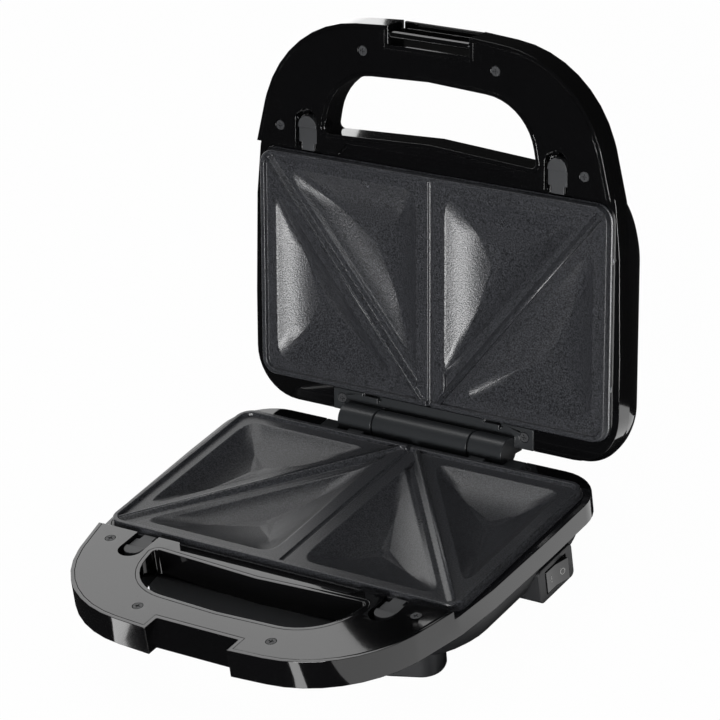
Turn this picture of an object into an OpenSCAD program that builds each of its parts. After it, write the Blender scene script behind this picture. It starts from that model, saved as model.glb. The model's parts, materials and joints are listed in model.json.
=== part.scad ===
// Sandwich toaster with two removable plates, shown with its lid open.
// Millimetres, +Z up. The origin is on the ground under the middle of the lower plate, and the handle
// points to -Y. Each half is drawn in half coordinates: the rim of its plate lies at z = 0 and the
// half goes down from there. The lid's half is turned over, lifted by the closed gap and swung open.

/* [Plates] */
// Width of a plate over its rim
plate_w = 225; // [215:1:230]
// Depth of a plate over its rim
plate_d = 131.6; // [126:0.2:134]
// Corner radius of a plate
plate_corner_r = 9; // [5:1:14]
// Height of the visible side of a plate
plate_side_h = 5; // [4.6:0.1:6]
// Width of the raised rim
rim_w = 2.7; // [2:0.1:4]
// Drop from the rim to the land round the pockets
rim_step = 2; // [1:0.1:2.5]
// Depth of the pockets below the rim
pocket_depth = 11; // [9:0.5:12]
// Thickness of the metal under a pocket
plate_wall = 2; // [1.5:0.1:2.4]
// Thickness of the flange at the foot of the plate's side
flange_t = 1; // [0.8:0.1:1.5]
// How far that flange stands out
flange_out = 1; // [0.5:0.1:1.4]
// Top width of the diagonal cutting ridge
ridge_w = 1.8; // [1:0.1:3]
// Width of the groove in the middle of the plate
groove_w = 3; // [2:0.1:5]
// Depth of that groove below the land
groove_depth = 1.2; // [0.5:0.1:1.8]
// Distance from the rim to the edge of a pocket
pocket_margin = 9.3; // [7:0.1:12]
// Distance from the middle of a ridge to the edge of a pocket
ridge_margin = 6.8; // [5:0.1:9]

/* [Body halves] */
// How far the body's side stands out from the plate's side
body_side = 6.5; // [6:0.5:9]
// How far both halves reach behind the plate
body_rear = 14.2; // [14:0.1:16]
// Corner radius at the rear
rear_corner_r = 28; // [20:1:34]
// Height of the outer gloss wall, from the rim plane down
band_h = 16; // [14:0.5:18]
// Drop from the rim plane to the flat land beside the plate
land_drop = 4.5; // [4:0.1:4.6]
// Thickness of the land
land_t = 2; // [1.6:0.1:2.5]
// Wall thickness of the gloss mouldings
wall = 2.5; // [2:0.1:3]
// Height of the rim plane above the ground
rim_height = 50; // [48:0.5:56]
// Running gap round the plate
plate_gap = 0.5; // [0.3:0.1:0.8]
// Width of the ledge that the plate rests on
ledge_w = 5; // [4:0.5:6]

/* [Handles] */
// Length of the handle at its middle, in front of the plate
handle_l = 82.7; // [80:0.1:86]
// Gap between the plate and the handle's cover
handle_root = 4.2; // [3.8:0.1:5]
// Distance from the plate to the front edge of the finger opening
hole_front = 52.8; // [50:0.2:55]
// Distance from the plate to the rear edge of that opening, at its middle
hole_rear = 18.2; // [17.4:0.2:19]
// Width of the handle's arms beside the finger opening
arm_w = 50.4; // [49:0.2:55]
// Width of the frame's edge round the cover
cover_edge_w = 2.4; // [2:0.1:3]
// Thickness of the cover plate
cover_t = 2.5; // [2:0.1:3]
// Clearance round the cover plate
cover_gap = 0.15; // [0.1:0.05:0.3]
// Floor of the hollow handle, below the rim plane
handle_floor_drop = 11.5; // [11:0.1:12]
// Half width of the notch in the handle's nose
notch_half_w = 26; // [20:0.5:30]
// Depth of the notch at the rim plane
notch_depth = 12.5; // [10.5:0.5:14.5]
// Drop from the rim plane to the catch nose in the lower notch
nose_drop = 9.4; // [8.5:0.1:10]
// Inset of that nose from the handle's front
nose_in = 2.5; // [2:0.1:3.5]

/* [Release buttons] */
// Distance of the release buttons from the plate's side
button_in = 32; // [30.5:0.5:33.5]
// Width of a release button
button_w = 12; // [10:0.5:12.5]
// Clearance between a button and the sides of its slot
button_side_gap = 1.1; // [0.5:0.1:1.3]
// Distance from the plate to the front of a button at rest
button_front = 22.7; // [22.2:0.1:23.2]
// Distance from the plate to the rear of a button at rest
button_rear = 7.2; // [6.8:0.1:8.2]
// Travel of a button
button_travel = 4; // [3:0.5:4.2]
// Drop from the rim plane to the button's raised pad
button_pad_drop = 0.8; // [0.5:0.1:1.5]
// Step behind the raised pad
button_step = 1; // [0.5:0.1:1.2]
// Radius of the return spring's coil, to the middle of its wire
spring_r = 1.6; // [1.2:0.1:1.7]
// Wire diameter of the return spring
spring_wire = 0.5; // [0.4:0.05:0.6]
// Number of turns of the return spring
spring_turns = 6; // [4:1:8]

/* [Hinge] */
// Distance from the plate to the hinge axis
hinge_back = 15.3; // [14.9:0.1:16]
// Hinge axis, distance below the lower rim plane
hinge_drop = 1.5; // [1:0.1:2]
// How far the lid stands open
open_angle = 101.5; // [90:0.5:105]
// Gap between the two rims when closed
closed_gap = 0.5; // [0.3:0.1:1]
// Radius of the hinge sleeves
sleeve_r = 8; // [7:0.1:8.3]
// Half length of the centre sleeve
centre_sleeve_half = 31; // [26:0.5:33]
// Outer end of the outer sleeves
sleeve_end_x = 54; // [50:0.5:58]
// Side gap between the sleeves
sleeve_gap = 1; // [0.6:0.1:1.2]
// Radial clearance round a sleeve in the other half
sleeve_clearance = 0.7; // [0.5:0.1:1]
// Radius of the hinge pin
pin_r = 2.5; // [2:0.1:3]
// Running clearance round the hinge pin
pin_gap = 0.05; // [0.03:0.01:0.08]
// Half width of the hinge block and of the hinge bracket
hinge_block_half = 66; // [62:0.5:70]

/* [Bowl and feet] */
// Inset of the bowl under the gloss wall
bowl_inset = 3; // [2.6:0.1:4]
// How far the bowl reaches in front of the plate
bowl_front = 17.2; // [16.4:0.2:18]
// Depth of the bowl's floor below the rim plane
bowl_floor_drop = 41; // [40.5:0.5:42]
// Wall thickness of the bowl and the lid shell
shell_wall = 2.5; // [2:0.1:2.6]
// Length of a front foot
front_foot_l = 40; // [34:1:42]
// Width of a front foot
front_foot_w = 26; // [20:1:28]
// Turn of a front foot, along the rounded corner of the body
front_foot_turn = 19; // [10:1:25]
// Length of a rear foot
rear_foot_l = 26; // [20:1:30]
// Width of a rear foot
rear_foot_w = 14; // [12:1:16]
// Thickness of the rubber pads
pad_t = 1.5; // [1:0.1:2]
// How far a pad stands out of its foot
pad_out = 0.5; // [0.3:0.1:0.8]

/* [Lid] */
// How far the rear edge of the lid shell overhangs the gloss wall
crown_overhang = 4; // [0:0.5:5]
// Height of the crowned shell above the lid's gloss wall
crown_h = 29; // [25:0.5:32]

/* [Heating] */
// Radius of the tubular heating element
element_r = 3.25; // [3:0.05:3.4]
// Distance of the element's loop from the plate's side
element_side_in = 30.5; // [27:0.5:36]
// Distance of the element's loop from the plate's front and rear
element_end_in = 23.8; // [20:0.1:28]
// Radius of the loop's corners
element_bend_r = 18; // [12:1:24]
// Depth of the element's centre line below the rim plane
element_drop = 17; // [16.8:0.1:17.1]
// Sheet thickness of the reflector
sheet_t = 0.8; // [0.6:0.1:0.9]
// Depth of the reflector's floor below the rim plane
reflector_drop = 21.5; // [21.4:0.1:21.8]

/* [Switch] */
// Middle of the switch along the side of the bowl
switch_y = 26; // [20:0.5:30]
// Depth of the middle of the switch below the rim plane
switch_drop = 33; // [32:0.5:34]
// Length of the switch bezel
bezel_l = 34; // [30:0.5:36]
// Height of the switch bezel
bezel_h = 20; // [19:0.5:22]
// Inset of the bezel's outer face from the body's side
bezel_in = 5; // [3:0.5:7]
// Length of the rocker
rocker_l = 20; // [18:0.5:21]
// Height of the rocker
rocker_h = 13; // [11:0.5:14]
// Tilt of the rocker each way
rocker_tilt = 8; // [5:0.5:9]

/* [Hidden] */

$fn = 48;
// Overrun of cutting bodies
e = 0.5;
// Half size of a block that covers the whole toaster
big = 200;
// Small gap between pieces that only rest beside each other
fit_gap = 0.3;
// Turn of an outline from one point to the next, on its rounded corners
step_angle = 9;

gloss_black = "#161617";
matte_black = "#2b2c2e";
satin_grey = "#38393b";
plate_grey = "#3d3e40";
steel_grey = "#b4b6b8";

plate_front_y = -plate_d / 2;
body_half_w = plate_w / 2 + body_side;
body_rear_y = plate_d / 2 + body_rear;
handle_front_y = plate_front_y - handle_l;
handle_root_y = plate_front_y - handle_root;
hole_front_y = plate_front_y - hole_front;
hole_rear_y = plate_front_y - hole_rear;
hole_half_w = body_half_w - arm_w;

// Corners of the body's side and of the handle, each with the radius of its curve
side_corner = [body_half_w, plate_d * 0.15, 0];
shoulder = [body_half_w - 2, handle_root_y + 3, 200];
front_corner = [body_half_w - 26, handle_front_y + 6.5, 68];

hinge_y = plate_d / 2 + hinge_back;
hinge_z = rim_height - hinge_drop;
// Hinge axis in the lid's half coordinates
lid_axis_z = closed_gap + hinge_drop;
plate_seat_z = -plate_side_h;
ledge_bottom_z = -land_drop - land_t;
// Front of the hinge block and of the hinge bracket, behind the plate's flange
hinge_front_y = plate_d / 2 + flange_out + plate_gap + fit_gap;

// Cover screws of a handle: outer pair and inner pair
cover_screw_at = [[body_half_w - 21, hole_rear_y + 3], [hole_half_w * 0.62, handle_front_y + 18]];
screw_head_r = 2.9;
screw_head_t = 1.2;
screw_shank_r = 1.5;
screw_gap = 0.05;
boss_r = 3.6;
cover_screw_l = 8;

// Screws that clamp frame, reflector and housing together, under the plate's flange
frame_screw_y = plate_d / 2 - 30;
frame_screw_x = plate_w / 2 - 0.5;
frame_screw_r = 1.2;
frame_screw_head_r = 2.1;
frame_screw_head_t = 0.9;
frame_screw_l = 8;

function unit(v) = v / norm(v);
function xy(p) = [p.x, p.y];

// Points of one rounded corner b between a and c, where b is [x, y, radius]
function corner_arc(a, b, c) =
    b.z == 0 ? [xy(b)] :
    let (u = unit(xy(a) - xy(b)), v = unit(xy(c) - xy(b)),
         half = acos(max(-1, min(1, u * v))) / 2,
         centre = xy(b) + unit(u + v) * b.z / sin(half),
         reach = b.z / tan(half),
         from = xy(b) + u * reach - centre, to = xy(b) + v * reach - centre,
         a0 = atan2(from.y, from.x), turn = atan2(to.y, to.x) - a0,
         sweep = turn > 180 ? turn - 360 : turn < -180 ? turn + 360 : turn,
         steps = ceil(abs(sweep) / step_angle - 0.01))
    [for (i = [0:steps]) centre + b.z * [cos(a0 + sweep * i / steps), sin(a0 + sweep * i / steps)]];

// Closed outline through rounded corners
function rounded_loop(p) =
    let (n = len(p)) [for (i = [0:n - 1]) each corner_arc(p[(i + n - 1) % n], p[i], p[(i + 1) % n])];

// Counter-clockwise corners that mirror each other about x = 0, where a corner may lie
function symmetric(side) =
    concat(side, [for (i = [len(side) - 1:-1:0]) if (side[i].x > 0) [-side[i].x, side[i].y, side[i].z]]);

// Moves a counter-clockwise outline inwards by d
function shrink(p, d) =
    let (n = len(p))
    [for (i = [0:n - 1])
        let (u = unit(p[i] - p[(i + n - 1) % n]), v = unit(p[(i + 1) % n] - p[i]),
             m = [-u.y, u.x], k = [-v.y, v.x])
        p[i] + d * (m + k) / (1 + m * k)];

function rectangle(half_w, front, rear, r) =
    rounded_loop(symmetric([[half_w, front, r], [half_w, rear, r]]));

body_outline = rounded_loop(symmetric([
    [0, handle_front_y, 0], front_corner, shoulder, side_corner,
    [body_half_w, body_rear_y, rear_corner_r]]));
hole_side_y = hole_rear_y + 3.6;
hole_outline = rounded_loop(symmetric([
    [0, hole_front_y, 0], [hole_half_w - 6.4, hole_front_y + 2.8, 32],
    [hole_half_w, hole_side_y, 3], [0, hole_rear_y, 0]]));

function plate_outline(grow) =
    rectangle(plate_w / 2 + grow, plate_front_y - grow, plate_d / 2 + grow, plate_corner_r + grow);

module slab(outline, low, high) {
    translate([0, 0, low]) linear_extrude(high - low) polygon(outline);
}

module block(low, high) {
    translate(low) cube(high - low);
}

module between(low, high) {
    translate(low) square(high - low);
}

// Solid through rings of points, from the lowest ring to the highest
module loft(rings) {
    n = len(rings[0]);
    m = len(rings);
    polyhedron(
        points = [for (r = rings) each r],
        faces = concat(
            [[for (i = [0:n - 1]) i]],
            [for (k = [0:m - 2], i = [0:n - 1])
                let (a = k * n + i, b = k * n + (i + 1) % n) each [[a, a + n, b + n], [a, b + n, b]]],
            [[for (i = [n - 1:-1:0]) (m - 1) * n + i]]));
}

function at_height(outline, z) = [for (p = outline) [p.x, p.y, z]];

module both_sides() {
    children();
    mirror([1, 0, 0]) children();
}

// Places of the two halves
module in_base() {
    translate([0, 0, rim_height]) children();
}

module in_lid() {
    translate([0, hinge_y, hinge_z]) rotate([-open_angle, 0, 0]) translate([0, -hinge_y, -hinge_z])
        translate([0, 0, rim_height + closed_gap]) mirror([0, 0, 1]) children();
}

/* ---- Plates ---- */

// The cutting ridge runs from near the outer front corner to near the middle of the rear rim
ridge_front = [plate_w / 2 - 5, plate_front_y + 6.5];
ridge_rear = [6.5, plate_d / 2 - rim_w];
ridge_dir = unit(ridge_rear - ridge_front);
ridge_normal = [ridge_dir.y, -ridge_dir.x];

// x on the line beside the ridge at y, and y on it at x
function ridge_x(y, off) =
    ridge_front.x + (off - (y - ridge_front.y) * ridge_normal.y) / ridge_normal.x;
function ridge_y(x, off) =
    ridge_front.y + (off - (x - ridge_front.x) * ridge_normal.x) / ridge_normal.y;

pocket_in_x = plate_w / 2 - pocket_margin;
pocket_in_y = plate_d / 2 - pocket_margin;
front_pocket = [
    [pocket_margin, -pocket_in_y],
    [ridge_x(-pocket_in_y, -ridge_margin), -pocket_in_y],
    [pocket_margin, ridge_y(pocket_margin, -ridge_margin)]
];
rear_pocket = [
    [pocket_in_x, ridge_y(pocket_in_x, ridge_margin)],
    [pocket_in_x, pocket_in_y],
    [ridge_x(pocket_in_y, ridge_margin), pocket_in_y]
];

// Inverted pyramid on a triangle, scaled about the triangle's middle
module pyramid(tri, size, top_z, tip_z) {
    mid = (tri[0] + tri[1] + tri[2]) / 3;
    ring = [for (p = tri) mid + (p - mid) * size];
    polyhedron(
        points = concat([for (p = ring) [p.x, p.y, top_z]], [[mid.x, mid.y, tip_z]]),
        faces = [[2, 1, 0], [0, 1, 3], [1, 2, 3], [2, 0, 3]]);
}

lug_w = 8;
lug_t = 1.1;
front_lug_y = handle_root_y;
rear_lug_x = 40;
rear_lug_w = 12;
rear_lug_y = plate_d / 2 + 3.7;

module grill_plate() {
    land_z = -rim_step;
    slope = 1 + e / (pocket_depth - rim_step);
    underside = 0.95;
    difference() {
        union() {
            slab(plate_outline(0), plate_seat_z, 0);
            slab(plate_outline(flange_out), plate_seat_z, plate_seat_z + flange_t);
            both_sides() {
                pyramid(front_pocket, underside, plate_seat_z + e, -pocket_depth - plate_wall);
                pyramid(rear_pocket, underside, plate_seat_z + e, -pocket_depth - plate_wall);
                block([button_x - lug_w / 2, front_lug_y, plate_seat_z],
                      [button_x + lug_w / 2, plate_front_y + 1, plate_seat_z + lug_t]);
                block([rear_lug_x - rear_lug_w / 2, plate_d / 2 - 1, plate_seat_z],
                      [rear_lug_x + rear_lug_w / 2, rear_lug_y, plate_seat_z + lug_t]);
            }
        }
        difference() {
            slab(shrink(plate_outline(0), rim_w), land_z, e);
            both_sides() ridge();
        }
        both_sides() {
            pyramid(front_pocket, slope, land_z + e, -pocket_depth);
            pyramid(rear_pocket, slope, land_z + e, -pocket_depth);
        }
        block([-groove_w / 2, plate_front_y + rim_w, land_z - groove_depth],
              [groove_w / 2, plate_d / 2 + e, e]);
    }
}

module ridge() {
    translate([ridge_front.x, ridge_front.y, -rim_step - e])
        rotate(atan2(ridge_dir.y, ridge_dir.x))
        translate([-rim_w, -ridge_w / 2, 0])
        cube([norm(ridge_rear - ridge_front) + 2 * rim_w, ridge_w, rim_step + e]);
}

/* ---- Handle frame and body frame of a half ---- */

button_x = plate_w / 2 - button_in;
button_front_y = plate_front_y - button_front;
button_rear_y = plate_front_y - button_rear;
slot_half_w = button_w / 2 + button_side_gap;
slot_front_y = button_front_y - button_travel - fit_gap;
shelf_z = -6;
shelf_t = 1;
stem_w = 4;
stem_front_y = button_front_y + 3;
stem_rear_y = stem_front_y + 3;
spring_l = 11;
spring_z = -9.2;
spring_stop_y = stem_front_y - spring_l;
stop_t = 2.5;
// The cover is cut back behind the finger opening
recess_half_w = hole_half_w - 8.6;
recess_end_w = recess_half_w - 6;
recess_y = hole_rear_y + 7.2;
notch_back_y = handle_front_y + notch_depth;
nose_y = handle_front_y + nose_in;

// Plan of a release button's slot, open towards the plate
module slot_plan() {
    translate([button_x, slot_front_y + slot_half_w]) circle(r = slot_half_w);
    between([button_x - slot_half_w, slot_front_y + slot_half_w],
            [button_x + slot_half_w, plate_front_y - flange_out + e]);
}

// Plan of the handle cover, grown by its clearance where it cuts the frame
module cover_plan(grow) {
    difference() {
        polygon(shrink(body_outline, cover_edge_w - grow));
        polygon(shrink(hole_outline, grow - cover_edge_w));
        between([-big, handle_root_y + grow], [big, big]);
        polygon([[-recess_end_w, recess_y + grow], [recess_end_w, recess_y + grow],
                 [recess_half_w + e, handle_root_y + 1], [-recess_half_w - e, handle_root_y + 1]]);
        between([-notch_half_w - cover_edge_w + grow, -big],
                [notch_half_w + cover_edge_w - grow, notch_back_y + cover_edge_w - grow]);
    }
}

module screw_plan(r) {
    both_sides() for (at = cover_screw_at) translate(at) circle(r = r);
}

module handle_cover() {
    difference() {
        translate([0, 0, -cover_t]) linear_extrude(cover_t) difference() {
            cover_plan(0);
            both_sides() slot_plan();
            screw_plan(screw_shank_r + screw_gap);
        }
        translate([0, 0, -screw_head_t]) linear_extrude(screw_head_t + e) screw_plan(screw_head_r + screw_gap);
    }
}

// Pan screws of the cover, sunk flush in it
module cover_screws() {
    both_sides() for (at = cover_screw_at) translate([at.x, at.y, 0]) {
        translate([0, 0, -screw_head_t]) cylinder(h = screw_head_t, r = screw_head_r);
        translate([0, 0, -cover_screw_l]) cylinder(h = cover_screw_l, r = screw_shank_r);
    }
}

// Hollow of the handle under the cover, closed at the bottom
module handle_hollow() {
    solid_half_w = button_x + slot_half_w + wall;
    translate([0, 0, -handle_floor_drop]) linear_extrude(handle_floor_drop - cover_t + e / 2) difference() {
        polygon(shrink(body_outline, wall));
        polygon(shrink(hole_outline, -wall));
        between([-big, handle_root_y - wall], [big, big]);
        // Solid round the slots of the buttons
        between([-solid_half_w, slot_front_y - wall], [solid_half_w, big]);
        between([-notch_half_w - wall, -big], [notch_half_w + wall, notch_back_y + wall]);
        screw_plan(boss_r);
        // Stops of the return springs
        both_sides() between([button_x - slot_half_w, spring_stop_y - stop_t],
                             [button_x + slot_half_w, spring_stop_y]);
    }
}

// Room for stem and spring below the shelf that the button slides on
module spring_room() {
    half = spring_r + spring_wire / 2 + fit_gap;
    block([button_x - half, spring_stop_y, -handle_floor_drop],
          [button_x + half, stem_rear_y + fit_gap, shelf_z - shelf_t]);
    block([button_x - half, stem_front_y - button_travel - fit_gap, shelf_z - shelf_t - e],
          [button_x + half, stem_rear_y + fit_gap, shelf_z + e]);
}

// Hollow under the land, open at the bottom
module band_hollow() {
    translate([0, 0, -band_h - e]) linear_extrude(band_h + e + ledge_bottom_z) difference() {
        polygon(shrink(body_outline, wall));
        between([-big, -big], [-recess_half_w, handle_root_y]);
        between([recess_half_w, -big], [big, handle_root_y]);
        between([-big, -big], [big, hole_side_y + wall]);
    }
}

// Frame of a half, open at the rear for the hinge
module half_frame() {
    difference() {
        translate([0, 0, -band_h]) linear_extrude(band_h) difference() {
            polygon(body_outline);
            polygon(hole_outline);
            polygon(plate_outline(flange_out + plate_gap - ledge_w));
            between([-hinge_block_half - fit_gap, hinge_front_y - e], [hinge_block_half + fit_gap, big]);
        }
        // Down to the land behind the handle
        translate([0, 0, -land_drop]) linear_extrude(land_drop + e) {
            between([-big, handle_root_y], [big, big]);
            polygon([[-recess_end_w, recess_y], [recess_end_w, recess_y],
                     [recess_half_w, handle_root_y + e], [-recess_half_w, handle_root_y + e]]);
        }
        translate([0, 0, -cover_t]) linear_extrude(cover_t + e) cover_plan(cover_gap);
        translate([0, 0, shelf_z]) linear_extrude(-shelf_z + e) both_sides() slot_plan();
        slab(plate_outline(flange_out + plate_gap), plate_seat_z, e);
        handle_hollow();
        band_hollow();
        both_sides() {
            spring_room();
            translate([frame_screw_x, 0, ledge_bottom_z - e]) frame_screw_bores(frame_screw_r + screw_gap, 3);
            translate([frame_screw_x, 0, plate_seat_z - frame_screw_head_t])
                frame_screw_bores(frame_screw_head_r + screw_gap, frame_screw_head_t + e);
        }
        translate([0, 0, -handle_floor_drop + 1]) linear_extrude(handle_floor_drop)
            screw_plan(screw_shank_r + screw_gap);
    }
}

module frame_screw_bores(r, l) {
    for (y = [-frame_screw_y, frame_screw_y]) translate([0, y, 0]) cylinder(h = l, r = r);
}

module frame_screws() {
    both_sides() for (y = [-frame_screw_y, frame_screw_y])
        translate([frame_screw_x, y, plate_seat_z]) {
            translate([0, 0, -frame_screw_head_t]) cylinder(h = frame_screw_head_t, r = frame_screw_head_r);
            translate([0, 0, -frame_screw_l]) cylinder(h = frame_screw_l, r = frame_screw_r);
        }
}

catch_back_y = notch_back_y - 4;

module base_frame() {
    color(gloss_black) in_base() difference() {
        half_frame();
        // Notch whose back is a ramp down to a nose, with an undercut for the clip below it
        translate([-notch_half_w, 0, 0]) rotate([90, 0, 90]) linear_extrude(2 * notch_half_w)
            polygon([[notch_back_y, e], [notch_back_y, 0], [nose_y, -nose_drop],
                     [catch_back_y, -nose_drop - 2], [catch_back_y, -band_h - e],
                     [-big, -band_h - e], [-big, e]]);
    }
}

module upper_frame() {
    color(gloss_black) in_lid() difference() {
        half_frame();
        block([-notch_half_w, -big, -band_h - e], [notch_half_w, notch_back_y, e]);
        translate([0, clip_y, clip_z]) rotate([0, 90, 0])
            cylinder(h = 2 * (notch_half_w + clip_pin_in), r = clip_pin_r + pin_gap, center = true);
    }
}

/* ---- Latch buttons and springs ---- */

module release_button() {
    half = button_w / 2;
    pad_rear_y = button_front_y + half + 1;
    low = shelf_z + fit_gap;
    difference() {
        union() {
            translate([button_x, button_front_y + half, low])
                cylinder(h = -button_pad_drop - low, r = half);
            block([button_x - half, button_front_y + half, low],
                  [button_x + half, button_rear_y, -button_pad_drop - button_step]);
            block([button_x - half, button_front_y + half, low],
                  [button_x + half, pad_rear_y, -button_pad_drop]);
        }
        block([button_x - half - e, pad_rear_y, -button_pad_drop - button_step],
              [button_x + half + e, 0, e]);
    }
    // Stem in the slit, and the tongue over the plate's lug
    block([button_x - stem_w / 2, stem_front_y, -handle_floor_drop + fit_gap],
          [button_x + stem_w / 2, stem_rear_y, low + e]);
    block([button_x - lug_w / 2, button_rear_y - 1, plate_seat_z + lug_t + fit_gap],
          [button_x + lug_w / 2, front_lug_y + 1.4, -button_pad_drop - button_step]);
}

spring_sides = 6;
spring_rings = 8;

// Coil along Y as one tube, with its ends flat against stem and stop
module release_spring() {
    steps = spring_turns * spring_rings;
    pitch = (spring_l - spring_wire) / spring_turns;
    echo(str("gap between turns: ", pitch - spring_wire));
    translate([button_x, stem_front_y - spring_wire / 2, spring_z])
        loft([for (k = [0:steps])
            let (a = 360 * k / spring_rings, along = -(spring_l - spring_wire) * k / steps)
            [for (s = [0:spring_sides - 1])
                let (b = 360 * s / spring_sides,
                     r = spring_r + spring_wire / 2 * cos(b))
                [r * cos(a), along + spring_wire / 2 * sin(b), r * sin(a)]]]);
}

/* ---- Heating ---- */

tray_flange_w = 4;
lead_x = 12;
lead_bend_r = 5;
lead_end_drop = 27;
pin_l = 5;

element_half_w = plate_w / 2 - element_side_in;
element_half_d = plate_d / 2 - element_end_in;
tray_half_w = plate_w / 2 + flange_out + plate_gap - ledge_w;
tray_half_d = plate_d / 2 + flange_out + plate_gap - ledge_w;
// Wide corners keep the tray clear of the bowl's rounded front
tray_corner_r = 26;
tray_in = rectangle(tray_half_w, -tray_half_d, tray_half_d, tray_corner_r);

module reflector() {
    tray_out = shrink(tray_in, -sheet_t);
    difference() {
        union() {
            slab(shrink(tray_in, -tray_flange_w), ledge_bottom_z - sheet_t, ledge_bottom_z);
            slab(tray_out, -reflector_drop, ledge_bottom_z);
        }
        slab(tray_in, -reflector_drop + sheet_t, e);
        both_sides() {
            translate([frame_screw_x, 0, ledge_bottom_z - 2]) frame_screw_bores(frame_screw_r + screw_gap, 3);
            translate([lead_x, element_half_d, -reflector_drop - e]) cylinder(h = 3, r = element_r + 1);
        }
    }
}

// Quarter of a bent rod about the middle of the bend
module bend(r, angle) {
    rotate_extrude(angle = angle) translate([r, 0]) circle(r = element_r);
}

// Loop of sheathed rod with both ends turned down through the tray
module heating_element() {
    straight_w = element_half_w - element_bend_r;
    straight_d = element_half_d - element_bend_r;
    end_x = lead_x + lead_bend_r;
    translate([0, 0, -element_drop]) {
        translate([-straight_w, -element_half_d, 0]) rotate([0, 90, 0])
            cylinder(h = 2 * straight_w, r = element_r);
        both_sides() {
            translate([straight_w, -straight_d, 0]) rotate(-90) bend(element_bend_r, 90);
            translate([element_half_w, -straight_d, 0]) rotate([-90, 0, 0])
                cylinder(h = 2 * straight_d, r = element_r);
            translate([straight_w, straight_d, 0]) bend(element_bend_r, 90);
            translate([end_x, element_half_d, 0]) rotate([0, 90, 0])
                cylinder(h = straight_w - end_x, r = element_r);
            translate([end_x, element_half_d, -lead_bend_r]) rotate([90, 0, 0]) rotate(90)
                bend(lead_bend_r, 90);
            translate([lead_x, element_half_d, -lead_end_drop + element_drop])
                cylinder(h = lead_end_drop - element_drop - lead_bend_r, r = element_r);
            translate([lead_x, element_half_d, -lead_end_drop + element_drop - pin_l])
                cylinder(h = pin_l, r = 1.2);
        }
    }
}

clip_at_x = 40;
clip_w = 8;
clip_wall = 1;

// Saddles over the front run and the side runs, with flat feet on the tray
module element_clips() {
    floor_z = -reflector_drop + sheet_t;
    both_sides() {
        translate([clip_at_x, -element_half_d, 0]) saddle(floor_z);
        translate([element_half_w, 0, 0]) rotate(90) saddle(floor_z);
    }
}

module saddle(floor_z) {
    outer = element_r + fit_gap + clip_wall;
    difference() {
        union() {
            block([-clip_w / 2, -outer, floor_z], [clip_w / 2, outer, -element_drop]);
            translate([-clip_w / 2, 0, -element_drop]) rotate([0, 90, 0]) cylinder(h = clip_w, r = outer);
            block([-clip_w / 2, -outer - 5, floor_z], [clip_w / 2, outer + 5, floor_z + clip_wall]);
        }
        translate([-clip_w, 0, -element_drop]) rotate([0, 90, 0])
            cylinder(h = 2 * clip_w, r = element_r + fit_gap);
        block([-clip_w, -element_r - fit_gap, -element_drop - outer - e],
              [clip_w, element_r + fit_gap, -element_drop]);
    }
}

/* ---- Bowl, lid shell and feet ---- */

// Each ring of the bowl: drop below the gloss wall and inset from the body's side, as shares of the depth
bowl_profile = [[0, 0], [0.12, 1.4], [0.48, 5.4], [0.8, 10.4], [0.96, 15.2], [1, 21]];
// Each ring of the crown: share of its height, inset of the sides, of the front and of the rear
crown_profile = [[0, 0, 0, 0], [0.17, 0.5, 3, 0.5], [0.34, 1.4, 9, 1.5], [0.52, 3.2, 17, 3.5],
                 [0.69, 6.8, 28, 7], [0.83, 12, 42, 12], [0.93, 19.5, 58, 18], [1, 34, 78, 28]];

bowl_depth = bowl_floor_drop - band_h;
bowl_front_y = plate_front_y - bowl_front;
crown_rear_y = body_rear_y + crown_overhang;
front_foot_at = [body_half_w - 45, bowl_front_y + 24];
rear_foot_at = [body_half_w - 45, body_rear_y - 30];
bowl_front_r = 48;
bowl_rear_r = 30;
// Front inset and corner radius of a ring, as shares of its side inset
bowl_front_share = 0.8;
bowl_corner_share = 0.5;

function bowl_ring(drop, inset) =
    let (half_w = body_half_w - bowl_inset - inset)
    at_height(rounded_loop(symmetric([
        [half_w, bowl_front_y + inset * bowl_front_share, bowl_front_r - inset * bowl_corner_share],
        [half_w, body_rear_y - bowl_inset - inset, bowl_rear_r - inset * bowl_corner_share]])),
        -band_h - drop);

// Both housings share this boss for the frame screws
module frame_screw_bosses() {
    both_sides() difference() {
        translate([frame_screw_x, 0, -band_h - 2])
            frame_screw_bores(boss_r, band_h + 2 + ledge_bottom_z - sheet_t);
        translate([frame_screw_x, 0, -band_h]) frame_screw_bores(frame_screw_r + screw_gap, band_h);
        // The bosses stay clear of the gloss wall and of the tray
        translate([0, 0, -band_h]) linear_extrude(band_h) difference() {
            square(2 * big, center = true);
            polygon(shrink(body_outline, wall + fit_gap));
        }
        slab(shrink(tray_in, -sheet_t - fit_gap), -big, 0);
    }
}

module bowl_body() {
    loft([for (i = [len(bowl_profile) - 1:-1:0])
        bowl_ring(bowl_profile[i][0] * bowl_depth, bowl_profile[i][1])]);
}

module bowl_shell() {
    difference() {
        bowl_body();
        loft(concat(
            [for (i = [len(bowl_profile) - 1:-1:1])
                bowl_ring(bowl_profile[i][0] * (bowl_depth - shell_wall), bowl_profile[i][1] + shell_wall)],
            [bowl_ring(-e, bowl_profile[0][1] + shell_wall)]));
    }
}

bushing_x = 60;
bushing_r = 6;
bushing_drop = 29;
bushing_bore_r = 3.6;
bushing_front_y = body_rear_y - 22;
bushing_rear_y = body_rear_y - 6;
bezel_x = body_half_w - bezel_in;
bezel_back_x = bezel_x - 16;
bezel_corner_r = 3;

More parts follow.
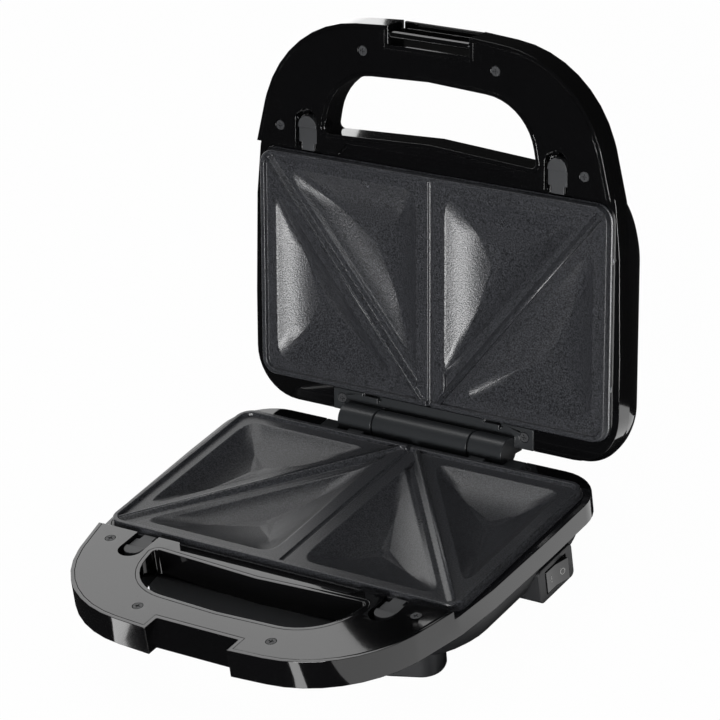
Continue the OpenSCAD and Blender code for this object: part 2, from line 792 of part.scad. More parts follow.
module base_bowl() {
    color(matte_black) in_base() difference() {
        union() {
            bowl_shell();
            frame_screw_bosses();
            translate([bushing_x, bushing_front_y + 2, -bushing_drop]) rotate([-90, 0, 0])
                cylinder(h = 10, r = bushing_r + shell_wall);
        }
        translate([bushing_x, bushing_front_y, -bushing_drop]) rotate([-90, 0, 0])
            cylinder(h = 30, r = bushing_r + screw_gap);
        // Clearance of the tray over the boss of the bushing
        slab(shrink(tray_in, -sheet_t - fit_gap), -reflector_drop - fit_gap, 0);
        // Window of the switch bezel
        bezel_body(fit_gap, bezel_back_x - fit_gap, body_half_w);
    }
}

module bezel_body(grow, from_x, to_x) {
    translate([from_x, switch_y, -switch_drop]) rotate([90, 0, 90])
        linear_extrude(to_x - from_x)
        polygon(rectangle(bezel_l / 2 + grow, -bezel_h / 2 - grow, bezel_h / 2 + grow, bezel_corner_r + grow));
}

module switch_bezel() {
    color(matte_black) in_base() difference() {
        bezel_body(0, bezel_back_x, bezel_x);
        block([rocker_axis_x - 6, switch_y - rocker_l / 2 - fit_gap * 2, -switch_drop - rocker_h / 2 - fit_gap],
              [body_half_w, switch_y + rocker_l / 2 + fit_gap * 2, -switch_drop + rocker_h / 2 + fit_gap]);
        translate([rocker_axis_x, switch_y, -switch_drop])
            cylinder(h = rocker_h + 4, r = 1.5 + pin_gap, center = true);
    }
}

rocker_axis_x = bezel_x - 6;
rocker_crest = 6.5;

// Rocker with two flat faces that meet over its axis, on trunnions
module rocker_switch() {
    half = rocker_l / 2;
    color(gloss_black) in_base() translate([rocker_axis_x, switch_y, -switch_drop]) {
        rotate(-rocker_tilt) translate([0, 0, -rocker_h / 2]) linear_extrude(rocker_h)
            polygon([[-2.5, -4], [2, -half + 0.8], [rocker_crest + 1.2, -half + 0.8], [rocker_crest, 0],
                     [rocker_crest + 1.2, half - 0.8], [2, half - 0.8], [-2.5, 4]]);
        cylinder(h = rocker_h + 3, r = 1.5, center = true);
    }
}

// Foot that narrows towards the ground, with room for its pad
module foot(l, w, low, high, taper) {
    difference() {
        loft([at_height(rectangle(l / 2 - taper, -w / 2 + taper, w / 2 - taper, w / 2 - taper - 1), low),
              at_height(rectangle(l / 2 - 0.6, -w / 2 + 0.6, w / 2 - 0.6, w / 2 - 1.6), low + 1.2),
              at_height(rectangle(l / 2, -w / 2, w / 2, w / 2 - 1), high)]);
        slab(rectangle(pad_half_l(l), -pad_half_l(w), pad_half_l(w), pad_half_l(w) - 1), -big, low + pad_t - pad_out);
    }
}

function pad_half_l(size) = size / 2 - 4;

foot_top_z = -bowl_floor_drop + 9;
foot_bottom_z = -rim_height + pad_out;

module front_feet() {
    color(matte_black) in_base() both_sides() difference() {
        translate(front_foot_at) rotate(front_foot_turn)
            foot(front_foot_l, front_foot_w, foot_bottom_z, foot_top_z, 1.6);
        bowl_body();
    }
}

module rear_feet() {
    color(matte_black) in_base() both_sides() difference() {
        translate(rear_foot_at) foot(rear_foot_l, rear_foot_w, foot_bottom_z, foot_top_z, 1.2);
        bowl_body();
    }
}

module foot_pads() {
    color("#1c1c1d") in_base() both_sides() {
        translate(front_foot_at) rotate(front_foot_turn) pad(front_foot_l, front_foot_w);
        translate(rear_foot_at) pad(rear_foot_l, rear_foot_w);
    }
}

module pad(l, w) {
    half_l = pad_half_l(l) - pin_gap;
    half_w = pad_half_l(w) - pin_gap;
    slab(rectangle(half_l, -half_w, half_w, half_w - 1), -rim_height, -rim_height + pad_t);
}

function crown_ring(row, h, more) =
    at_height(rounded_loop(symmetric([
        [body_half_w - bowl_inset + 2 - row[1] - more, bowl_front_y + 3 + row[2] + more, 30 + row[2] * 0.2],
        [body_half_w - bowl_inset + 2 - row[1] - more, crown_rear_y - row[3] * 1.15 - more, 28]])),
        -band_h - row[0] * h);

module lid_shell() {
    n = len(crown_profile);
    color(gloss_black) in_lid() {
        difference() {
            loft([for (i = [n - 1:-1:0]) crown_ring(crown_profile[i], crown_h, 0)]);
            loft(concat([for (i = [n - 1:-1:1]) crown_ring(crown_profile[i], crown_h - shell_wall, shell_wall)],
                        [crown_ring(crown_profile[0], e * 2, shell_wall)]));
            block([-big, -big, -band_h], [big, big, 0]);
        }
        frame_screw_bosses();
    }
}

/* ---- Hinge ---- */

block_top_z = -land_drop - 0.2;
hook_w = 10;
hook_t = 1.5;
hook_reach = 1.2;

// Hooks over the two rear lugs of the plate
module plate_hooks(foot_z) {
    hook_z = plate_seat_z + lug_t + fit_gap;
    both_sides() {
        block([rear_lug_x - hook_w / 2, rear_lug_y - hook_reach, hook_z],
              [rear_lug_x + hook_w / 2, rear_lug_y + fit_gap + hook_t, hook_z + hook_t]);
        block([rear_lug_x - hook_w / 2, rear_lug_y + fit_gap, foot_z],
              [rear_lug_x + hook_w / 2, rear_lug_y + fit_gap + hook_t, hook_z + hook_t]);
    }
}

module along_axis(z, from_x, to_x, r) {
    translate([from_x, hinge_y, z]) rotate([0, 90, 0]) cylinder(h = to_x - from_x, r = r);
}

// Pocket in the block for the plate's rear lugs
module lug_room(top_z) {
    both_sides() block([rear_lug_x - rear_lug_w / 2 - fit_gap, hinge_front_y - e, plate_seat_z - fit_gap],
                       [rear_lug_x + rear_lug_w / 2 + fit_gap, rear_lug_y + fit_gap, top_z + e]);
}

module hinge_block() {
    color(satin_grey) in_base() difference() {
        union() {
            difference() {
                union() {
                    block([-hinge_block_half, hinge_front_y, -band_h],
                          [hinge_block_half, body_rear_y, block_top_z]);
                    plate_hooks(block_top_z - 1);
                }
                lug_room(block_top_z);
                along_axis(-hinge_drop, -sleeve_end_x - sleeve_gap, sleeve_end_x + sleeve_gap,
                           sleeve_r + sleeve_clearance);
            }
            along_axis(-hinge_drop, -centre_sleeve_half, centre_sleeve_half, sleeve_r);
            block([-centre_sleeve_half, hinge_y - sleeve_r, -band_h],
                  [centre_sleeve_half, hinge_y + 3, -hinge_drop - 4]);
        }
        along_axis(-hinge_drop, -sleeve_end_x, sleeve_end_x, pin_r + pin_gap);
        lug_room(block_top_z);
    }
}

bracket_top_z = -land_drop + 0.5;
bracket_t = 8;
bracket_screw_x = 60;
bracket_screw_y = body_rear_y - 7;

module hinge_bracket() {
    color(satin_grey) in_lid() difference() {
        union() {
            block([-hinge_block_half, hinge_front_y, bracket_top_z - bracket_t],
                  [hinge_block_half, body_rear_y, bracket_top_z]);
            plate_hooks(bracket_top_z - 1);
            both_sides() {
                along_axis(lid_axis_z, centre_sleeve_half + sleeve_gap, sleeve_end_x, sleeve_r);
                block([centre_sleeve_half + sleeve_gap, hinge_y - sleeve_r + 1, bracket_top_z - bracket_t],
                      [sleeve_end_x, hinge_y + 3, lid_axis_z - 4]);
            }
        }
        lug_room(bracket_top_z);
        along_axis(lid_axis_z, -centre_sleeve_half - sleeve_gap, centre_sleeve_half + sleeve_gap,
                   sleeve_r + sleeve_clearance);
        along_axis(lid_axis_z, -sleeve_end_x + 1, sleeve_end_x - 1, pin_r + pin_gap);
        both_sides() translate([bracket_screw_x, bracket_screw_y, bracket_top_z - 20]) {
            cylinder(h = 30, r = screw_shank_r + screw_gap);
            translate([0, 0, 20 - screw_head_t]) cylinder(h = 5, r = screw_head_r + screw_gap);
        }
    }
}

module bracket_screws() {
    color(steel_grey) in_lid() both_sides() translate([bracket_screw_x, bracket_screw_y, bracket_top_z]) {
        translate([0, 0, -screw_head_t]) cylinder(h = screw_head_t, r = screw_head_r);
        translate([0, 0, -bracket_t]) cylinder(h = bracket_t, r = screw_shank_r);
    }
}

module hinge_pin() {
    color(steel_grey) in_base() along_axis(-hinge_drop, -sleeve_end_x + 1.2, sleeve_end_x - 1.2, pin_r);
}

/* ---- Lid clip ---- */

clip_pin_r = 1;
clip_pin_in = 2;
clip_y = handle_front_y + 7;
clip_z = -2.2;
clip_half_w = notch_half_w - 0.8;
clip_t = 1.8;
clip_l = 14.8;
clip_lip_t = 1.8;
clip_lip_out = 3.6;
clip_eye_r = 2;

// Clip folded up in the notch; its lip reaches under the nose when it is swung down
module lid_clip() {
    color(matte_black) in_lid() translate([0, clip_y, clip_z]) difference() {
        union() {
            rotate([0, 90, 0]) cylinder(h = 2 * clip_half_w, r = clip_eye_r, center = true);
            block([-clip_half_w, -clip_t / 2, -clip_l], [clip_half_w, clip_t / 2, 0]);
            block([-clip_half_w, -clip_t / 2 - clip_lip_out, -clip_l],
                  [clip_half_w, clip_t / 2, -clip_l + clip_lip_t]);
        }
        rotate([0, 90, 0]) cylinder(h = big, r = clip_pin_r + pin_gap, center = true);
    }
}

module lid_clip_pin() {
    color(steel_grey) in_lid() translate([0, clip_y, clip_z]) rotate([0, 90, 0])
        cylinder(h = 2 * (notch_half_w + clip_pin_in) - 1, r = clip_pin_r, center = true);
}

/* ---- Electrics of the base ---- */

floor_top_z = -bowl_floor_drop + shell_wall;
thermostat_at = [0, 0];
thermostat_h = 7.7;
tab_x = 4.8;
tab_t = 0.8;
fuse_y = 20;
terminal_at = [bushing_x - 16, bushing_front_y - 12];
terminal_size = [34, 12, 9];
lead_z = -31;

module thermostat() {
    color("#8c7b62") in_base() translate([thermostat_at.x, thermostat_at.y, -reflector_drop]) {
        translate([0, 0, -3]) cylinder(h = 3, r = 8);
        translate([0, 0, -thermostat_h]) cylinder(h = thermostat_h - 2.5, r = 7);
        both_sides() block([tab_x - tab_t, -3, -11], [tab_x, 3, -thermostat_h + 0.5]);
    }
}

module thermal_fuse() {
    color("#cfcabc") in_base() translate([-9, fuse_y, -reflector_drop - 2.3]) rotate([0, 90, 0])
        cylinder(h = 18, r = 2);
}

module terminal_block() {
    color("#e9e6dc") in_base() difference() {
        translate([terminal_at.x - terminal_size.x / 2, terminal_at.y - terminal_size.y / 2, floor_top_z])
            cube(terminal_size);
        for (i = [-1:1]) translate([terminal_at.x + i * 10, terminal_at.y, floor_top_z + 3])
            cylinder(h = 20, r = 2.2);
    }
}

// Lead laid through points at one height, with round corners
module lead(points, r) {
    path = rounded_loop(points);
    n = len(path);
    sides = 8;
    loft([for (i = [0:n - 1])
        let (ahead = unit(path[min(i + 1, n - 1)] - path[max(i - 1, 0)]))
        [for (s = [0:sides - 1]) let (a = 360 * s / sides)
            [path[i].x - ahead.y * r * cos(a), path[i].y + ahead.x * r * cos(a), r * sin(a)]]]);
}

// Mains leads to block, switch and thermostat, and the leads to the ends of the element
module internal_wiring() {
    r = 1.3;
    block_left = terminal_at.x - terminal_size.x / 2;
    block_right = terminal_at.x + terminal_size.x / 2;
    block_front = terminal_at.y - terminal_size.y / 2;
    block_rear = terminal_at.y + terminal_size.y / 2;
    tab_end_x = tab_x + fit_gap;
    color("#6b4a2c") in_base() translate([0, 0, lead_z]) {
        lead([[bushing_x - 1.5, bushing_front_y - fit_gap, 0], [bushing_x - 1.5, block_rear + fit_gap, 0]], r);
        lead([[block_right - 5, block_front - fit_gap, 0], [block_right - 5, switch_y + 5, 6],
              [bezel_back_x - fit_gap, switch_y + 5, 0]], r);
        lead([[bezel_back_x - fit_gap, switch_y - 5, 0], [40, switch_y - 5, 8], [20, 0, 8],
              [tab_end_x, 0, 0]], r);
        lead([[-tab_end_x, 0, 0], [-lead_x, 0, 6], [-lead_x, element_half_d - 1.5, 0]], r);
        lead([[block_left - fit_gap, element_half_d, 0], [lead_x + 1.5, element_half_d, 0]], r);
    }
}

module cord_bushing() {
    color("#1c1c1d") in_base() translate([bushing_x, 0, -bushing_drop]) rotate([-90, 0, 0]) difference() {
        union() {
            translate([0, 0, bushing_front_y]) cylinder(h = bushing_rear_y - bushing_front_y, r = bushing_r);
            translate([0, 0, bushing_front_y]) cylinder(h = 2, r = bushing_r + 1.5);
        }
        translate([0, 0, 0]) cylinder(h = big, r = bushing_bore_r);
    }
}

/* ---- Placed pieces ---- */

module lower_handle_cover() { color(gloss_black) in_base() handle_cover(); }
module lower_cover_screws() { color(gloss_black) in_base() cover_screws(); }
module lower_plate() { color(plate_grey) in_base() grill_plate(); }
module lower_reflector() { color(steel_grey) in_base() reflector(); }
module lower_frame_screws() { color(steel_grey) in_base() frame_screws(); }
module lower_heating_element() { color("#7d7a76") in_base() heating_element(); }
module lower_element_clips() { color(steel_grey) in_base() element_clips(); }
module lower_left_release() { color(matte_black) in_base() mirror([1, 0, 0]) release_button(); }
module lower_right_release() { color(matte_black) in_base() release_button(); }
module lower_left_spring() { color(steel_grey) in_base() mirror([1, 0, 0]) release_spring(); }
module lower_right_spring() { color(steel_grey) in_base() release_spring(); }
module upper_handle_cover() { color(gloss_black) in_lid() handle_cover(); }
module upper_cover_screws() { color(gloss_black) in_lid() cover_screws(); }
module upper_plate() { color(plate_grey) in_lid() grill_plate(); }
module upper_reflector() { color(steel_grey) in_lid() reflector(); }
module upper_frame_screws() { color(steel_grey) in_lid() frame_screws(); }
module upper_heating_element() { color("#7d7a76") in_lid() heating_element(); }
module upper_element_clips() { color(steel_grey) in_lid() element_clips(); }
module upper_left_release() { color(matte_black) in_lid() mirror([1, 0, 0]) release_button(); }
module upper_right_release() { color(matte_black) in_lid() release_button(); }
module upper_left_spring() { color(steel_grey) in_lid() mirror([1, 0, 0]) release_spring(); }
module upper_right_spring() { color(steel_grey) in_lid() release_spring(); }

base_frame();
base_bowl();
lower_handle_cover();
lower_cover_screws();
lower_plate();
lower_reflector();
lower_frame_screws();
lower_heating_element();
lower_element_clips();
lower_left_release();
lower_right_release();
lower_left_spring();
lower_right_spring();
hinge_block();
hinge_pin();
front_feet();
rear_feet();
foot_pads();
switch_bezel();
rocker_switch();
thermostat();
thermal_fuse();
terminal_block();
internal_wiring();
cord_bushing();
upper_frame();
lid_shell();
upper_handle_cover();
upper_cover_screws();
upper_plate();
upper_reflector();
upper_frame_screws();
upper_heating_element();
upper_element_clips();
upper_left_release();
upper_right_release();
upper_left_spring();
upper_right_spring();
hinge_bracket();
bracket_screws();
lid_clip();
lid_clip_pin();
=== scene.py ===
# %% [markdown]
# # A sandwich toaster with its lid open
# The toaster has two gloss black halves joined by a hinge. Each half carries a removable coated plate with
# four triangular pockets, a hollow handle with a glossy cover, and two sliding buttons that free the plate.
# The solid model gives every size and every joint, so this lesson only dresses it: finer shapes where the
# eye sees them, real finishes, and a plain light studio.

# %% Load the solid model
import json
from math import cos, pi, radians, sin
import bmesh
import bpy
import numpy as np
from mathutils import Matrix, Vector


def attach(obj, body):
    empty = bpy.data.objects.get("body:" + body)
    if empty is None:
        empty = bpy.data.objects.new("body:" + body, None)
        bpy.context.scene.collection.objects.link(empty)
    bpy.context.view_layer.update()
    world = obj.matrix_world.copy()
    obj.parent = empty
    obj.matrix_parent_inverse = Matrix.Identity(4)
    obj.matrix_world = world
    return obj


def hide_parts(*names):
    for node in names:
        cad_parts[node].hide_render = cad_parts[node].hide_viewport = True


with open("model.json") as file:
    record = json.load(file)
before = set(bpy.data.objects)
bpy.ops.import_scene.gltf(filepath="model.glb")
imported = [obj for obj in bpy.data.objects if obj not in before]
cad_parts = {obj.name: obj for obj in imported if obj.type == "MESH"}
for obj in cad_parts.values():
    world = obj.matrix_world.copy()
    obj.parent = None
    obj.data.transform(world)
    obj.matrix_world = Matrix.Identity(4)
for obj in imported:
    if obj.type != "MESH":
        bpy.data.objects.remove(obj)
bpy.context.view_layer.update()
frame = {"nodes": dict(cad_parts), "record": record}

# %% [markdown]
# ## Camera
# The camera stands to the right of the handles and looks down at the plates with a long lens, which keeps
# the edges of the plates nearly parallel. It is turned a little about its own line of sight. Its lens, its
# three angles and its place were fitted to the straight edges of both plates.

# %% Place the camera
turn, lift, roll = radians(37.197), radians(27.864), radians(-7.608)
back = Vector((sin(turn) * cos(lift), -cos(turn) * cos(lift), sin(lift)))
level = Vector((cos(turn), sin(turn), 0))
upright = back.cross(level)
right = cos(roll) * level + sin(roll) * upright
up = cos(roll) * upright - sin(roll) * level

camera = bpy.data.objects.new("camera", bpy.data.cameras.new("camera"))
camera.data.lens = 178.41
camera.data.sensor_width = 36
camera.data.clip_start, camera.data.clip_end = 0.05, 50
stand = Matrix.Translation((1.0188, -1.3121, 1.0123))
camera.matrix_world = stand @ Matrix((right, up, back)).transposed().to_4x4()
bpy.context.scene.collection.objects.link(camera)
bpy.context.scene.camera = camera
bpy.context.scene.view_settings.view_transform = "Standard"
print("camera at", [round(v, 3) for v in camera.location])

# %% [markdown]
# ## Two small helpers for colours and nodes
# Colours are written as they look on a screen, and Blender works with linear light, so one function turns
# the first into the second. Every finish is a tree of nodes, and one function adds a node, sets it up and
# links it.

# %% Colour and node helpers
def linear(hex_colour):
    parts = [int(hex_colour[i:i + 2], 16) / 255 for i in (1, 3, 5)]
    return [c / 12.92 if c <= 0.04045 else ((c + 0.055) / 1.055) ** 2.4 for c in parts] + [1.0]


def add_node(tree, kind, inputs=None, **settings):
    node = tree.nodes.new(kind)
    for name, value in settings.items():
        setattr(node, name, value)
    for key, value in (inputs or {}).items():
        if isinstance(value, bpy.types.NodeSocket):
            tree.links.new(value, node.inputs[key])
        else:
            node.inputs[key].default_value = value
    return node


print("a charcoal grey in linear light:", [round(v, 4) for v in linear("#2f3032")])

# %% [markdown]
# ## Studio
# Gloss black shows almost nothing but reflections, so the room is the main part of the picture. The world
# is white. Round the table stands a tent of black cloth that only reflections see, with one bright window,
# behind the toaster to the left. The lower cover mirrors it and turns light grey, and the lid's cover,
# which looks at the cloth, stays deep black. Three narrow gaps low in the cloth stand as upright lines in the
# front wall of the lower handle, and a pale table lights the right wall of the lower half.

# %% Paint the room
world = bpy.data.worlds.new("studio")
bpy.context.scene.world = world
world.use_nodes = True
room = world.node_tree
path = add_node(room, "ShaderNodeLightPath")
seen_or_mirrored = add_node(room, "ShaderNodeMath", {0: path.outputs["Is Camera Ray"],
                                                     1: path.outputs["Is Glossy Ray"]}, operation="ADD")
direct = add_node(room, "ShaderNodeMath", {0: seen_or_mirrored.outputs[0],
                                           1: path.outputs["Is Transmission Ray"]},
                  operation="ADD", use_clamp=True)
# Light that matt surfaces get from the room, beside the white that the eye and the gloss see
room_light = 0.3
strength = add_node(room, "ShaderNodeMix", {0: direct.outputs[0], 2: room_light, 3: 1.0})
room.links.new(strength.outputs[0], room.nodes["Background"].inputs["Strength"])
room.nodes["Background"].inputs["Color"].default_value = (1, 1, 1, 1)
print("room nodes:", len(room.nodes))


# %% Cloths and cards that only reflections see
def reflected_only(name, points, faces, radiance):
    mesh = bpy.data.meshes.new(name)
    mesh.from_pydata(points, [], faces)
    material = bpy.data.materials.new(name)
    material.use_nodes = True
    tree = material.node_tree
    tree.nodes.clear()
    light = add_node(tree, "ShaderNodeEmission", {"Color": (1, 1, 1, 1), "Strength": radiance})
    add_node(tree, "ShaderNodeOutputMaterial", {0: light.outputs[0]})
    mesh.materials.append(material)
    card = bpy.data.objects.new(name, mesh)
    bpy.context.scene.collection.objects.link(card)
    card.visible_camera = card.visible_diffuse = card.visible_shadow = False
    card.visible_transmission = False


def tent_patch(name, turn, height, reach, radiance):
    """Part of a sphere, in degrees round from straight behind, to the right, and above the horizon."""
    columns, rows = 60, 30
    points = [(reach * sin(a) * cos(h), reach * cos(a) * cos(h), reach * sin(h))
              for h in np.radians(np.linspace(*height, rows + 1))
              for a in np.radians(np.linspace(*turn, columns + 1))]
    corners = [(columns + 1) * row + column for row in range(rows) for column in range(columns)]
    faces = [(k, k + 1, k + columns + 2, k + columns + 1) for k in corners]
    reflected_only(name, points, faces, radiance)


# The bright patches hang just inside the cloth
cloth_reach, bright_reach = 4, 3.9
tent_patch("black_tent", (-180, 180), (-89, 89), cloth_reach, radiance=0.012)
tent_patch("window", (-84, -34), (-22, 60), bright_reach, radiance=1.45)
for i, turn in enumerate(((-130, -125), (174, 184), (86, 99))):
    tent_patch("gap_%d" % i, turn, (-45, -20), bright_reach, radiance=3.2)

near, far, front, rear, height = 0.121, 0.271, -0.2, 0.22, 0.0015
reflected_only("table_beside", [(near, front, height), (far, front, height), (far, rear, height),
                                (near, rear, height)], [(0, 1, 2, 3)], radiance=0.95)


# %% Hang the softboxes
def softbox(name, place, aim, size, radiance):
    lamp = bpy.data.lights.new(name, "AREA")
    lamp.shape = "RECTANGLE"
    lamp.size, lamp.size_y = size
    # A lamp's watts spread over its face and over half of the room
    lamp.energy = radiance * size[0] * size[1] * pi
    box = bpy.data.objects.new(name, lamp)
    box.location = place
    box.rotation_euler = (Vector(aim) - Vector(place)).to_track_quat("-Z", "Y").to_euler()
    bpy.context.scene.collection.objects.link(box)


# One lights the slopes of the lid's pockets from the front, a larger one above fills the lower plate
softbox("front_box", (0.5, -1.9, 0.2), (0, 0, 0.14), (0.8, 0.8), radiance=24)
softbox("top_box", (-0.5, 0.3, 1.9), (0, 0, 0.05), (1.0, 1.0), radiance=2.4)

# %% [markdown]
# The floor is white paper. To the eye it glows by itself nearly as white as the room, so that it runs into
# the background, and the rest of it is real paper, which keeps a faint shadow.

# %% Lay the floor
floor_mesh = bpy.data.meshes.new("floor")
reach = 6
floor_mesh.from_pydata([(-reach, -reach, 0), (reach, -reach, 0), (reach, reach, 0), (-reach, reach, 0)], [],
                       [(0, 1, 2, 3)])
floor = bpy.data.objects.new("floor", floor_mesh)
bpy.context.scene.collection.objects.link(floor)
floor_finish = bpy.data.materials.new("matt white paper")
floor_finish.use_nodes = True
tree = floor_finish.node_tree
tree.nodes.clear()
paper = add_node(tree, "ShaderNodeBsdfDiffuse", {"Color": linear("#f6f6f6")})
glow = add_node(tree, "ShaderNodeEmission", {"Color": (1, 1, 1, 1), "Strength": 1.0})
glow_share = 0.98
share = add_node(tree, "ShaderNodeMath", {0: add_node(tree, "ShaderNodeLightPath").outputs["Is Camera Ray"],
                                          1: glow_share}, operation="MULTIPLY")
paper_or_glow = add_node(tree, "ShaderNodeMixShader", {0: share.outputs[0], 1: paper.outputs[0],
                                                       2: glow.outputs[0]})
add_node(tree, "ShaderNodeOutputMaterial", {0: paper_or_glow.outputs[0]})
floor_mesh.materials.append(floor_finish)
floor.visible_glossy = False
print("floor", 2 * reach, "m wide")

# %% [markdown]
# ## Finishes
# Most of the toaster is moulded plastic, and moulded plastic differs mainly in how the steel of its mould
# was finished: polished for the gloss parts, spark-eroded for the matt ones. So one function makes a finish
# from a colour, a roughness and the size and depth of a grain, and each material only gives its real values.
# A second, much larger cloud varies the roughness, as handling and wiping do.

# %% One function for a moulded or rolled surface
def finish(name, colour, roughness, grain_mm, depth_mm, uneven=0.1, tint=0.1, **sockets):
    cloud_mm = 35
    material = bpy.data.materials.new(name)
    material.use_nodes = True
    tree = material.node_tree
    place = add_node(tree, "ShaderNodeTexCoord").outputs["Object"]
    grain = add_node(tree, "ShaderNodeTexNoise", {"Vector": place, "Scale": 1000 / grain_mm, "Detail": 2.0})
    cloud = add_node(tree, "ShaderNodeTexNoise", {"Vector": place, "Scale": 1000 / cloud_mm, "Detail": 3.0})
    rough = add_node(tree, "ShaderNodeMath", {0: cloud.outputs[0], 1: uneven, 2: roughness - uneven / 2},
                     operation="MULTIPLY_ADD")
    base = linear(colour)
    dark = [c * (1 - tint) for c in base[:3]] + [1]
    light = [c * (1 + tint) for c in base[:3]] + [1]
    paint = add_node(tree, "ShaderNodeMix", {0: grain.outputs[0], 6: dark, 7: light}, data_type="RGBA")
    bump = add_node(tree, "ShaderNodeBump", {"Strength": 1.0, "Distance": depth_mm / 1000,
                                             "Height": grain.outputs[0]})
    shader = tree.nodes["Principled BSDF"]
    for socket, value in sockets.items():
        shader.inputs[socket.replace("_", " ")].default_value = value
    tree.links.new(paint.outputs[2], shader.inputs["Base Color"])
    tree.links.new(rough.outputs[0], shader.inputs["Roughness"])
    tree.links.new(bump.outputs[0], shader.inputs["Normal"])
    return material


# %% Plastics and rubber
# ABS from a polished mould: deep black with sharp reflections that waver a little over long distances
gloss_abs = finish("polished ABS", "#09090a", 0.07, 9, 0.004, uneven=0.05, tint=0.05, IOR=1.54,
                   Coat_Weight=0.6, Coat_Roughness=0.03)
# ABS from a spark-eroded mould: soft dark grey, its fine grain drawn at twice its real 0.3 mm
matt_abs = finish("spark-eroded ABS", "#1b1c1e", 0.5, 0.6, 0.02, tint=0.15, IOR=1.54)
# The buttons and screw caps have the same texture on a lighter grey
button_abs = finish("textured ABS", "#38393b", 0.46, 0.6, 0.03, tint=0.2, IOR=1.54)
# Glass-filled nylon of the hinge: satin, with flow clouds of fibre under its skin
hinge_nylon = finish("glass-filled nylon", "#2a2c2e", 0.34, 0.9, 0.01, uneven=0.16, tint=0.18, IOR=1.53)
# Cast rubber of the pads and of the cord inlet
rubber = finish("nitrile rubber", "#161617", 0.7, 0.8, 0.03, IOR=1.52)
# Silicone leads, ceramic parts and the brown phenolic body of the thermostat
silicone = finish("silicone sleeve", "#5f3f28", 0.5, 1.2, 0.02, IOR=1.43)
ceramic = finish("steatite ceramic", "#d9d4c6", 0.55, 0.9, 0.02, IOR=1.6)
phenolic = finish("phenolic moulding", "#6b4a32", 0.4, 0.7, 0.02, IOR=1.6)
# Grey ink of the switch marks, printed by pad and slightly rough
mark_ink = finish("pad-printed ink", "#8f8f8d", 0.5, 0.5, 0.01, IOR=1.5)

# %% Metals
# Zinc-plated screws and pins, drawn spring wire, and the aluminised sheet of the trays
steel = finish("zinc-plated steel", "#b9bbbe", 0.3, 1.5, 0.01, Metallic=1.0)
spring_steel = finish("drawn spring wire", "#8d8f92", 0.28, 0.8, 0.005, Metallic=1.0)
tray_sheet = finish("aluminised sheet", "#b5b7b8", 0.4, 2.5, 0.02, uneven=0.2, tint=0.12, Metallic=1.0)
# The sheath of the heater has been glowing: brownish grey with straw-coloured patches
sheath = finish("heat-tinted steel sheath", "#77695a", 0.42, 6, 0.01, uneven=0.2, tint=0.35, Metallic=1.0)
print("finishes:", len(bpy.data.materials))

# %% [markdown]
# The non-stick plates are die-cast aluminium, blasted and then coated with PTFE. The coat follows the blasted
# grain, so the plate is a charcoal grey with tiny points that catch the light. The grain is about 0.4 mm
# and is drawn at 0.8 mm, as coarse as it has to be to show in the picture.

# %% Non-stick coat
nonstick = bpy.data.materials.new("PTFE coat on cast aluminium")
nonstick.use_nodes = True
tree = nonstick.node_tree
place = add_node(tree, "ShaderNodeTexCoord").outputs["Object"]
grain_mm, patch_mm, depth_mm = 0.8, 30, 0.04
grit = add_node(tree, "ShaderNodeTexNoise", {"Vector": place, "Scale": 1000 / grain_mm, "Detail": 2.0})
# The noise hardly leaves the middle of its range, which is spread out to full contrast
crisp = add_node(tree, "ShaderNodeMapRange", {0: grit.outputs[0], 1: 0.36, 2: 0.66, 3: 0.0, 4: 1.0})
patches = add_node(tree, "ShaderNodeTexNoise", {"Vector": place, "Scale": 1000 / patch_mm, "Detail": 2.0})
paint = add_node(tree, "ShaderNodeMix", {0: crisp.outputs[0], 6: linear("#1a1b1d"), 7: linear("#404145")},
                 data_type="RGBA")
rough = add_node(tree, "ShaderNodeMath", {0: patches.outputs[0], 1: 0.08, 2: 0.25}, operation="MULTIPLY_ADD")
bump = add_node(tree, "ShaderNodeBump", {"Strength": 1.0, "Distance": depth_mm / 1000,
                                         "Height": crisp.outputs[0]})
shader = tree.nodes["Principled BSDF"]
shader.inputs["IOR"].default_value = 1.5
for socket, node in (("Base Color", paint), ("Roughness", rough), ("Normal", bump)):
    tree.links.new(node.outputs[2 if socket == "Base Color" else 0], shader.inputs[socket])
print("coat drawn over", nonstick.name)

# %% [markdown]
# ## The two halves
# Both halves are drawn once, lying on their backs with the rim of the plate at height zero. The lower half is
# lifted by the height of its rim. The lid's half is turned over and swung about the hinge. One function for
# each turns millimetres of a half into metres of the model.

# %% Places of the halves
rim_height, hinge_y, hinge_z, closed_gap, open_angle = 50, 81.1, 48.5, 0.5, radians(101.5)


def in_base(points):
    return (np.asarray(points, float) + [0, 0, rim_height]) / 1000


def in_lid(points):
    x, y, z = np.asarray(points, float).T
    along, off = y - hinge_y, rim_height + closed_gap - z - hinge_z
    return np.stack([x, hinge_y + along * cos(open_angle) + off * sin(open_angle),
                     hinge_z - along * sin(open_angle) + off * cos(open_angle)], axis=1) / 1000


print("front rim of the lid's plate at", in_lid([(0, -65.8, 0)]).round(4))


# %% Make a piece from points and faces
def new_piece(name, points, faces, material):
    mesh = bpy.data.meshes.new(name)
    mesh.from_pydata(np.asarray(points).tolist(), [], faces)
    mesh.validate()
    mesh.materials.append(material)
    piece = bpy.data.objects.new(name, mesh)
    bpy.context.scene.collection.objects.link(piece)
    return piece


# %% [markdown]
# ## Grill plates
# Each plate is one casting: a raised rim, a flat land, a cutting ridge across each half and four hollow
# triangles. A hollow is deepest in its middle, where its three slopes meet in short narrow flats that point
# to the corners. All of this is a height over the plan, so the plate is made as a height field:
# a grid of points whose height is worked out by a rule. Carving it with booleans would
# give hard edges everywhere, and the cast shape is soft except at the ridge and at the middle of a hollow.

# %% Sizes of a plate, in millimetres
plate_w, plate_d, corner_r = 225, 131.6, 9
rim_w, land, pocket_floor = 2.7, -2.0, -11.0
